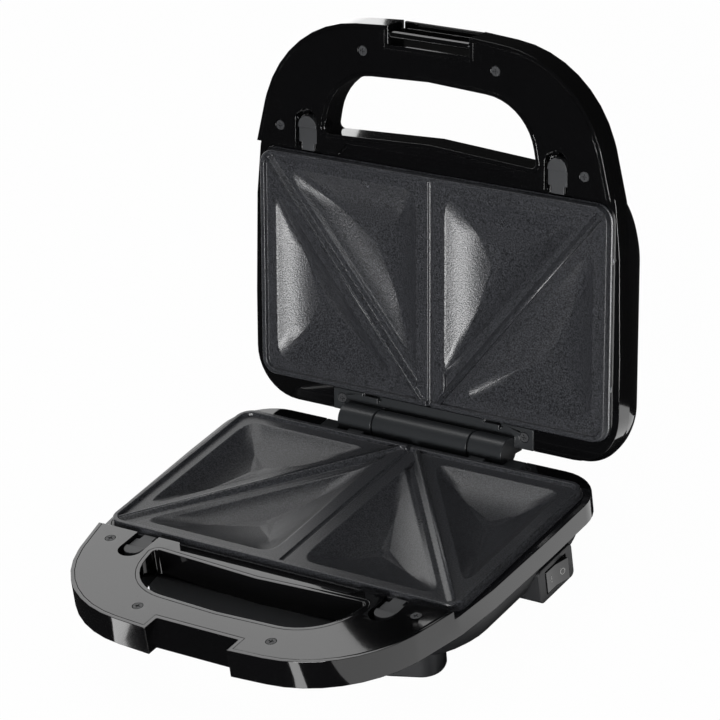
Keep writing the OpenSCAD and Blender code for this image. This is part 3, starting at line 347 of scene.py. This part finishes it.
# The ridge runs from near an outer front corner to near the middle of the rear rim
ridge_from, ridge_to = np.array([107.5, -59.3]), np.array([6.5, 63.1])
ridge_l = np.linalg.norm(ridge_to - ridge_from)
ridge_dir = (ridge_to - ridge_from) / ridge_l
ridge_side = np.array([ridge_dir[1], -ridge_dir[0]])
pocket_margin, ridge_margin = 9.3, 6.8
band_top, band_fall, band_from, band_w, band_blend = -0.5, 2.2, 1.3, 2.6, 3
groove_depth, runout_depth, edge_round = 1.2, 3.0, 0.5
underside_z = -13.0


def ridge_line(off, x=None, y=None):
    """Point on the line that runs beside the ridge at the distance off, where it meets x or y."""
    if x is None:
        x = ridge_from[0] + (off - (y - ridge_from[1]) * ridge_side[1]) / ridge_side[0]
        return np.array([x, y])
    return np.array([x, ridge_from[1] + (off - (x - ridge_from[0]) * ridge_side[0]) / ridge_side[1]])


side_x, end_y = plate_w / 2 - pocket_margin, plate_d / 2 - pocket_margin
front_pocket = [np.array([pocket_margin, -end_y]), ridge_line(-ridge_margin, y=-end_y),
                ridge_line(-ridge_margin, x=pocket_margin)]
rear_pocket = [ridge_line(ridge_margin, x=side_x), np.array([side_x, end_y]),
               ridge_line(ridge_margin, y=end_y)]
print("front pocket", [p.round(1).tolist() for p in front_pocket], "rear pocket",
      [p.round(1).tolist() for p in rear_pocket])


# %% Rules that soften and blend
def step(low, high, v):
    t = np.clip((v - low) / (high - low), 0, 1)
    return t * t * (3 - 2 * t)


def soft_min(a, b, k):
    h = np.clip(1 - np.abs(a - b) / k, 0, 1)
    return np.minimum(a, b) - h * h * k / 4


def soft_rise(v, r):
    return 0.5 * (v + np.sqrt(v * v + r * r)) - r / 2


print("soft_min(1, 1, 0.2) =", soft_min(1.0, 1.0, 0.2))


# %% Height of the plate over its plan
def pocket_shape(x, y, corners, edge_height):
    """Height of a hollow, from the share of the way that a point has from the edges to the middle."""
    middle = sum(corners) / 3
    ways = []
    for i in range(3):
        a, b = corners[i], corners[(i + 1) % 3]
        normal = np.array([a[1] - b[1], b[0] - a[0]])
        ways.append(((x - a[0]) * normal[0] + (y - a[1]) * normal[1]) / np.dot(middle - a, normal))
    nearest = np.minimum(np.minimum(ways[0], ways[1]), ways[2])
    # Rounded corners at the edge turn into sharp valleys near the middle
    blend = 0.02 + 0.3 * (1 - step(0.25, 0.6, nearest))
    way = soft_min(soft_min(ways[0], ways[1], blend), ways[2], blend)
    # Narrow flats lie in the inner part of each valley
    fill = 0.11 * step(0.52, 1.0, nearest)
    for i in range(3):
        way = np.minimum(way, (ways[i] + ways[(i + 1) % 3]) / 2 - fill)
    way = np.clip(soft_rise(way, 0.02), 0, 1)
    fall = 0.35 * way + 0.65 * (1 - (1 - way) ** 2.6)
    return edge_height + (pocket_floor - edge_height) * fall


def plate_height(x, y):
    ax = np.abs(x)
    off = (ax - ridge_from[0]) * ridge_side[0] + (y - ridge_from[1]) * ridge_side[1]
    along = (ax - ridge_from[0]) * ridge_dir[0] + (y - ridge_from[1]) * ridge_dir[1]
    qx, qy = ax - (plate_w / 2 - corner_r), np.abs(y) - (plate_d / 2 - corner_r)
    inside = corner_r - np.hypot(np.maximum(qx, 0), np.maximum(qy, 0)) - np.minimum(np.maximum(qx, qy), 0)
    # In front of the ridge a narrow band falls steeply to a land that gets deeper near the hinge
    foot = land - band_fall * np.clip(along / ridge_l, 0, 1)
    band = band_top + (foot - band_top) * np.clip((-off - band_from) / band_w, 0, 1)
    near_ridge = step(-ridge_margin - band_blend, -ridge_margin, off) * (off < 0)
    level = land + (band - land) * near_ridge
    level = np.where(ax < pocket_margin, np.maximum(level, land), level)
    z = np.minimum(level, np.where(off < 0, pocket_shape(ax, y, front_pocket, level),
                                   pocket_shape(ax, y, rear_pocket, land)))
    groove = 1 - step(0.6, 1.5, ax)
    rim = 1 - step(rim_w - 0.2, rim_w + 0.5, inside)
    z = (z - groove_depth * groove) * (1 - rim)
    # The groove runs out through the rear rim, and the outer edge is rounded
    z = np.where(y > 0, z - runout_depth * groove * rim, z)
    return z - edge_round * (1 - step(0, 0.7, inside)) ** 2


print("height in the middle of the front pocket", plate_height(np.array([37.2]), np.array([-23.0])).round(2))


# %% [markdown]
# The grid is denser along the rim, and near a corner of the plate its squares are pulled in to the arc. The
# height comes from the rule, and so does the direction of the surface, which keeps the shading
# smooth although the ridge crosses the grid at an angle. A skirt, the thin flange that rests in the frame and
# a closed underside complete the casting.

# %% Grid points along one side of the plate
def grid_line(length):
    edge = np.array([0, 0.2, 0.45, 0.75, 1.2, 1.8, 2.2, 2.5, 2.8, 3.1, 3.45, 3.9, 4.4, 5.0])
    first, spacing = 5.6, 0.62
    inner = np.linspace(first, length / 2, round((length / 2 - first) / spacing) + 1)
    half = np.concatenate([edge, inner]) - length / 2
    return np.concatenate([half, -half[-2::-1]])


columns, rows = grid_line(plate_w), grid_line(plate_d)
print("grid", len(columns), "by", len(rows))


# %% Cutting ridge, a bar with two rounded edges
ridge_section = [(-0.9, -7.0), (-0.9, -0.55), (-0.82, -0.32), (-0.6, -0.2), (0.6, -0.2), (0.82, -0.32),
                 (0.9, -0.55), (0.9, -7.0)]


def ridge_bar(mirror):
    overrun = 1.5 * ridge_dir
    points = []
    for end in (ridge_from - overrun, ridge_to + overrun):
        for off, height in ridge_section:
            x, y = end + off * ridge_side
            points.append((mirror * x, y, height))
    n = len(ridge_section)
    faces = [(i, (i + 1) % n, n + (i + 1) % n, n + i) for i in range(n)]
    faces += [tuple(range(n))[::-1], tuple(range(n, 2 * n))]
    return points, faces if mirror > 0 else [f[::-1] for f in faces]


print("ridge", round(float(ridge_l), 1), "mm long")


# %% Make one plate
def make_plate(name, place):
    x, y = np.meshgrid(columns, rows)
    qx, qy = np.abs(x) - (plate_w / 2 - corner_r), np.abs(y) - (plate_d / 2 - corner_r)
    corner = (qx > 0) & (qy > 0)
    far = np.where(corner, np.hypot(qx, qy), 1)
    pull = np.where(corner, np.maximum(qx, qy) / far, 1)
    x = np.where(corner, np.sign(x) * (plate_w / 2 - corner_r + qx * pull), x)
    y = np.where(corner, np.sign(y) * (plate_d / 2 - corner_r + qy * pull), y)
    top = np.stack([x, y, plate_height(x, y)], axis=2).reshape(-1, 3)
    nx, ny = len(columns), len(rows)
    index = np.arange(nx * ny).reshape(ny, nx)
    quads = np.stack([index[:-1, :-1], index[:-1, 1:], index[1:, 1:], index[1:, :-1]], axis=2).reshape(-1, 4)
    border = np.concatenate([index[0, :-1], index[:-1, -1], index[-1, :0:-1], index[:0:-1, 0]])
    edge = top[border][:, :2]
    centre = np.clip(edge, [-(plate_w / 2 - corner_r), -(plate_d / 2 - corner_r)],
                     [plate_w / 2 - corner_r, plate_d / 2 - corner_r])
    outward = (edge - centre) / np.linalg.norm(edge - centre, axis=1)[:, None]
    # Down the side, round the flange and in under it
    rings = [np.column_stack([edge + outward * out, np.full(len(edge), z)])
             for out, z in ((0.0, -3.9), (0.15, -4.05), (0.8, -4.05), (1.0, -4.2), (1.0, -4.9), (0.9, -5.0),
                            (-6.5, -5.0))]
    rings.append(np.column_stack([edge * [0.86, 0.77], np.full(len(edge), underside_z)]))
    points = np.concatenate([top] + rings + [[[0, 0, underside_z]]])
    count, total = len(border), len(top)
    faces, upper = quads.tolist(), border
    for k in range(len(rings)):
        lower = total + k * count + np.arange(count)
        a, b = np.roll(upper, -1), np.roll(lower, -1)
        faces += np.stack([upper, lower, b, a], axis=1).tolist()
        upper = lower
    hub = len(points) - 1
    faces += [(int(a), hub, int(b)) for a, b in zip(upper, np.roll(upper, -1))]
    # Surface direction on the top face, from the rule itself
    d = 0.05
    slope_x = (plate_height(x + d, y) - plate_height(x - d, y)) / (2 * d)
    slope_y = (plate_height(x, y + d) - plate_height(x, y - d)) / (2 * d)
    normals = np.zeros((len(points), 3))
    facing = np.stack([-slope_x, -slope_y, np.ones_like(x)], axis=2).reshape(-1, 3)
    normals[:total] = facing / np.linalg.norm(facing, axis=1)[:, None]
    normals[border] = 0
    for mirror in (1, -1):
        bar_points, bar_faces = ridge_bar(mirror)
        faces += [tuple(len(points) + i for i in f) for f in bar_faces]
        points = np.concatenate([points, bar_points])
        normals = np.concatenate([normals, np.zeros((len(bar_points), 3))])
    turned = place(points + normals) - place(points)
    if place is in_lid:
        faces = [f[::-1] for f in faces]
    piece = new_piece(name, place(points), faces, nonstick)
    piece.data.shade_smooth()
    piece.data.set_sharp_from_angle(angle=radians(40))
    piece.data.normals_split_custom_set_from_vertices((turned * 1000).tolist())
    print(name, len(piece.data.polygons), "faces")
    return piece


for name, place, body in (("lower_grill_plate", in_base, "base"), ("upper_grill_plate", in_lid, "lid")):
    plate = make_plate(name, place)
    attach(plate, body)
    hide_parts(name.replace("_grill", ""))

# %% [markdown]
# ## Moulded parts with rounded edges
# A real moulding never has a knife edge: a radius of a few tenths of a millimetre catches a fine line of
# light round every part, and two such lines make the seams between cover and frame. The solid model has
# sharp edges, so each visible part is copied, the points that its triangles share are merged, and a bevel
# rounds the edges. Normals weighted by the size of the faces keep the flats flat.

# %% Copy a node with rounded edges
def rounded_copy(node, name, material, radius_mm):
    work = bmesh.new()
    work.from_mesh(frame["nodes"][node].data)
    bmesh.ops.remove_doubles(work, verts=work.verts, dist=2e-6)
    mesh = bpy.data.meshes.new(name + " plain")
    work.to_mesh(mesh)
    work.free()
    mesh.shade_smooth()
    shape = bpy.data.objects.new(name + " plain", mesh)
    bpy.context.scene.collection.objects.link(shape)
    bevel = shape.modifiers.new("rounded edges", "BEVEL")
    bevel.width, bevel.segments = radius_mm / 1000, 2
    bevel.limit_method, bevel.angle_limit = "ANGLE", radians(30)
    bevel.use_clamp_overlap = False
    bevel.miter_outer = "MITER_ARC"
    shape.modifiers.new("flat faces", "WEIGHTED_NORMAL").keep_sharp = True
    made = bpy.data.meshes.new_from_object(shape.evaluated_get(bpy.context.evaluated_depsgraph_get()))
    bpy.data.objects.remove(shape)
    made.name = name
    made.materials.clear()
    made.materials.append(material)
    piece = bpy.data.objects.new(name, made)
    bpy.context.scene.collection.objects.link(piece)
    return piece


# %% Round the visible mouldings
body_of_node = {n: b for b, nodes in frame["record"]["behaviour"]["bodies"].items() for n in nodes}
for node, material, slot, radius_mm in (
        ("base_frame", gloss_abs, "gloss_black", 0.25),
        ("upper_frame", gloss_abs, "gloss_black", 0.25),
        ("lower_handle_cover", gloss_abs, "gloss_black", 0.2),
        ("upper_handle_cover", gloss_abs, "gloss_black", 0.2),
        ("lower_left_release", button_abs, "matte_black", 0.3),
        ("lower_right_release", button_abs, "matte_black", 0.3),
        ("upper_left_release", button_abs, "matte_black", 0.3),
        ("upper_right_release", button_abs, "matte_black", 0.3),
        ("hinge_block", hinge_nylon, "satin_grey", 0.4),
        ("hinge_bracket", hinge_nylon, "satin_grey", 0.4),
        ("switch_bezel", matt_abs, "matte_black", 0.5),
        ("rocker_switch", gloss_abs, "gloss_black", 0.4),
        ("lid_clip", gloss_abs, "matte_black", 0.3),
        ("base_bowl", matt_abs, "matte_black", 0.4),
        ("front_feet", matt_abs, "matte_black", 0.4),
        ("rear_feet", matt_abs, "matte_black", 0.4)):
    piece = rounded_copy(node, node + "_moulding", material, radius_mm)
    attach(piece, body_of_node[node])
    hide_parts(node)
    print(piece.name, len(piece.data.polygons), "faces")

# %% [markdown]
# ## Crown of the lid
# The outer shell of the lid swells from the gloss wall to a low crown, and every reflection on its gloss
# follows that curve. The solid model has eight rings of points. The shell is lofted here again through the
# same rings, with a smooth curve between them and with finer corners.

# %% Loft the lid shell
# Each row: share of the height, and how far the sides, the front and the rear have come in
shell_rows = np.array([[0, 0, 0, 0], [0.17, 0.5, 3, 0.5], [0.34, 1.4, 9, 1.5], [0.52, 3.2, 17, 3.5],
                       [0.69, 6.8, 28, 7], [0.83, 12, 42, 12], [0.93, 19.5, 58, 18], [1, 34, 78, 28]])
band_h, crown_h, shell_wall = 16, 29, 2.5
shell_half_w, shell_front, shell_rear = 118, -80, 84
front_r, rear_r, arc_points = 30, 28, 25


def smooth_rows(rows, parts):
    """Points on a smooth curve through the rows, with some parts between each two."""
    made = []
    for i in range(len(rows) - 1):
        before, after = rows[max(i - 1, 0)], rows[min(i + 2, len(rows) - 1)]
        for t in np.arange(parts) / parts:
            made.append(rows[i] + 0.5 * t * (rows[i + 1] - before
                        + t * (2 * before - 5 * rows[i] + 4 * rows[i + 1] - after
                               + t * (3 * (rows[i] - rows[i + 1]) + after - before))))
    return np.array(made + [rows[-1]])


def shell_ring(row, depth, more):
    half_w = shell_half_w - row[1] - more
    front, rear = shell_front + row[2] + more, shell_rear - row[3] * 1.15 - more
    wide_r = front_r + row[2] * 0.2
    ring = []
    for x_sign, y, r, start in ((1, front, wide_r, -90), (1, rear, rear_r, 0), (-1, rear, rear_r, 90),
                                (-1, front, wide_r, 180)):
        centre = np.array([x_sign * (half_w - r), y + r if y == front else y - r])
        for a in np.radians(start + np.linspace(0, 90, arc_points)):
            ring.append([*(centre + r * np.array([cos(a), sin(a)])), -band_h - row[0] * depth])
    return ring


rows = smooth_rows(shell_rows, 4)
rings = [shell_ring(row, crown_h - shell_wall, shell_wall) for row in rows[::-1]]
rings += [shell_ring(row, crown_h, 0) for row in rows]
count = len(rings[0])
points = [p for ring in rings for p in ring]
faces = [[count * k + i, count * k + (i + 1) % count, count * (k + 1) + (i + 1) % count, count * (k + 1) + i]
         for k in range(len(rings) - 1) for i in range(count)]
faces += [list(range(count))[::-1], [count * (len(rings) - 1) + i for i in range(count)]]
shell = new_piece("lid_crown", in_lid(points), faces, gloss_abs)
work = bmesh.new()
work.from_mesh(shell.data)
bmesh.ops.recalc_face_normals(work, faces=work.faces)
work.to_mesh(shell.data)
work.free()
shell.data.shade_smooth()
shell.data.set_sharp_from_angle(angle=radians(50))
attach(shell, "lid")
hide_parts("lid_shell")
print("lid crown", len(faces), "faces")

# %% [markdown]
# ## Screws
# Eight sunk caps hold the two handle covers and two screws hold the hinge bracket. They are all the
# same pan head with a cross recess, so a node tree makes one and places it on a point for each screw. The
# recess is cut by two bars, and the head's top edge is bevelled by its cone.

# %% Node tree of the screws
screws = bpy.data.node_groups.new("screws on points", "GeometryNodeTree")
screws.interface.new_socket("Points", in_out="INPUT", socket_type="NodeSocketGeometry")
for label, kind, value in (
        ("Head radius", "NodeSocketFloat", 0.0029), ("Head height", "NodeSocketFloat", 0.0012),
        ("Shank radius", "NodeSocketFloat", 0.0015), ("Shank length", "NodeSocketFloat", 0.007),
        ("Recess length", "NodeSocketFloat", 0.0032), ("Recess width", "NodeSocketFloat", 0.0007),
        ("Turn", "NodeSocketRotation", (0, 0, 0)), ("Finish", "NodeSocketMaterial", None)):
    socket = screws.interface.new_socket(label, in_out="INPUT", socket_type=kind)
    if value is not None:
        socket.default_value = value
screws.interface.new_socket("Screws", in_out="OUTPUT", socket_type="NodeSocketGeometry")
given = add_node(screws, "NodeGroupInput").outputs
top_radius = add_node(screws, "ShaderNodeMath", {0: given["Head radius"], 1: 0.93}, operation="MULTIPLY")
head = add_node(screws, "GeometryNodeMeshCone", {"Vertices": 32, "Radius Bottom": given["Head radius"],
                "Radius Top": top_radius.outputs[0], "Depth": given["Head height"]})
drop = add_node(screws, "ShaderNodeMath", {0: given["Head height"], 1: -1.0}, operation="MULTIPLY").outputs[0]
low = add_node(screws, "ShaderNodeCombineXYZ", {"Z": drop}).outputs[0]
sunk = add_node(screws, "GeometryNodeTransform", {"Geometry": head.outputs["Mesh"], "Translation": low})
bars = []
for along, across in (("X", "Y"), ("Y", "X")):
    size = add_node(screws, "ShaderNodeCombineXYZ", {
        along: given["Recess length"], across: given["Recess width"], "Z": given["Head height"]})
    bars.append(add_node(screws, "GeometryNodeMeshCube", {"Size": size.outputs[0]}).outputs["Mesh"])
cut = add_node(screws, "GeometryNodeMeshBoolean", {"Mesh 1": sunk.outputs[0]}, operation="DIFFERENCE")
for bar in bars:
    screws.links.new(bar, cut.inputs["Mesh 2"])
shank = add_node(screws, "GeometryNodeMeshCylinder", {"Vertices": 16, "Radius": given["Shank radius"],
                                                      "Depth": given["Shank length"]})
half = add_node(screws, "ShaderNodeMath", {0: given["Shank length"], 1: -0.5, 2: drop},
                operation="MULTIPLY_ADD").outputs[0]
hung = add_node(screws, "GeometryNodeTransform", {"Geometry": shank.outputs["Mesh"],
                "Translation": add_node(screws, "ShaderNodeCombineXYZ", {"Z": half}).outputs[0]})
whole = add_node(screws, "GeometryNodeJoinGeometry", {0: cut.outputs["Mesh"]})
screws.links.new(hung.outputs[0], whole.inputs[0])
placed = add_node(screws, "GeometryNodeInstanceOnPoints", {
    "Points": given["Points"], "Instance": whole.outputs[0], "Rotation": given["Turn"]})
real = add_node(screws, "GeometryNodeRealizeInstances", {0: placed.outputs[0]})
done = add_node(screws, "GeometryNodeSetMaterial", {"Geometry": real.outputs[0], "Material": given["Finish"]})
add_node(screws, "NodeGroupOutput", {0: done.outputs[0]})
print("screw tree:", len(screws.nodes), "nodes")


# %% Set the screws in their places
def set_screws(name, points, material, body, node, turn):
    carrier = new_piece(name + " points", points, [], material)
    modifier = carrier.modifiers.new("screws", "NODES")
    modifier.node_group = screws
    sockets = {item.name: item.identifier for item in screws.interface.items_tree if item.in_out == "INPUT"}
    modifier[sockets["Turn"]] = turn
    modifier[sockets["Finish"]] = material
    mesh = bpy.data.meshes.new_from_object(carrier.evaluated_get(bpy.context.evaluated_depsgraph_get()))
    bpy.data.objects.remove(carrier)
    mesh.name = name
    piece = bpy.data.objects.new(name, mesh)
    bpy.context.scene.collection.objects.link(piece)
    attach(piece, body)
    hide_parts(node)
    print(name, len(points), "screws,", len(mesh.polygons), "faces")


cover_points = [(side * x, y, 0) for x, y in ((98, -81), (42.5, -130.5)) for side in (-1, 1)]
bracket_points = [(side * 60, 73, -4) for side in (-1, 1)]
lid_turn = (radians(180) - open_angle, 0, 0)
set_screws("lower_cover_caps", in_base(cover_points), button_abs, "base", "lower_cover_screws",
           (0, 0, 0))
set_screws("upper_cover_caps", in_lid(cover_points), button_abs, "lid", "upper_cover_screws",
           lid_turn)
set_screws("hinge_bracket_screws", in_lid(bracket_points), button_abs, "lid", "bracket_screws",
           lid_turn)

# %% [markdown]
# ## Marks on the switch
# The rocker carries the two signs that every mains switch has: a bar for on and a ring for off. They are
# thin prints, made as small plates that stand a few hundredths of a millimetre proud of the rocker's faces.

# %% Print the switch marks
rocker_x, rocker_y, rocker_drop, rocker_tilt = 108, 26, 33, radians(-8)
rocker_crest, face_slope = 6.5, 1.2 / 9.2


def mark_points(outline, face_y):
    """Points on a face of the rocker, from flat millimetres along its length and its height."""
    made = []
    for along, height, proud in outline:
        y = face_y + along
        x = rocker_crest + face_slope * abs(y) + proud
        made.append([rocker_x + x * cos(rocker_tilt) - y * sin(rocker_tilt),
                     rocker_y + x * sin(rocker_tilt) + y * cos(rocker_tilt), height - rocker_drop])
    return in_base(made)


bar = [(a, h, p) for p in (0.0, 0.06) for a, h in ((-0.3, -2), (0.3, -2), (0.3, 2), (-0.3, 2))]
bar_faces = [(3, 2, 1, 0), (4, 5, 6, 7)] + [(i, (i + 1) % 4, 4 + (i + 1) % 4, 4 + i) for i in range(4)]
ring, ring_faces, turns = [], [], 40
for i in range(turns):
    a = radians(360 * i / turns)
    ring += [(r * cos(a) * 0.9, r * sin(a), p) for r, p in ((1.4, 0.0), (2.0, 0.0), (2.0, 0.06), (1.4, 0.06))]
    k, n = 4 * i, 4 * ((i + 1) % turns)
    ring_faces += [(k + j, n + j, n + (j + 1) % 4, k + (j + 1) % 4) for j in range(4)]
for name, outline, faces, face_y in (("on_mark", bar, bar_faces, -4.6), ("off_mark", ring, ring_faces, 4.6)):
    mark = new_piece(name, mark_points(outline, face_y), faces, mark_ink)
    work = bmesh.new()
    work.from_mesh(mark.data)
    bmesh.ops.recalc_face_normals(work, faces=work.faces)
    work.to_mesh(mark.data)
    work.free()
    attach(mark, "rocker_switch")
    print(name, "printed")

# %% [markdown]
# ## Finishes of the remaining parts
# The parts inside the halves keep their solid shapes. Each gets the finish of the real part, so that the
# toaster also looks right with its plates or its floor taken off.

# %% Dress the remaining nodes
inner_finishes = {
    tray_sheet: ("lower_reflector", "upper_reflector", "lower_element_clips", "upper_element_clips"),
    sheath: ("lower_heating_element", "upper_heating_element"),
    spring_steel: ("lower_left_spring", "lower_right_spring", "upper_left_spring", "upper_right_spring"),
    steel: ("lower_frame_screws", "upper_frame_screws", "hinge_pin", "lid_clip_pin"),
    rubber: ("foot_pads", "cord_bushing"),
    ceramic: ("terminal_block", "thermal_fuse"),
    phenolic: ("thermostat",),
    silicone: ("internal_wiring",),
}
for material, nodes in inner_finishes.items():
    for node in nodes:
        for material_slot in frame["nodes"][node].material_slots:
            material_slot.material = material
    print(material.name, "on", ", ".join(nodes))
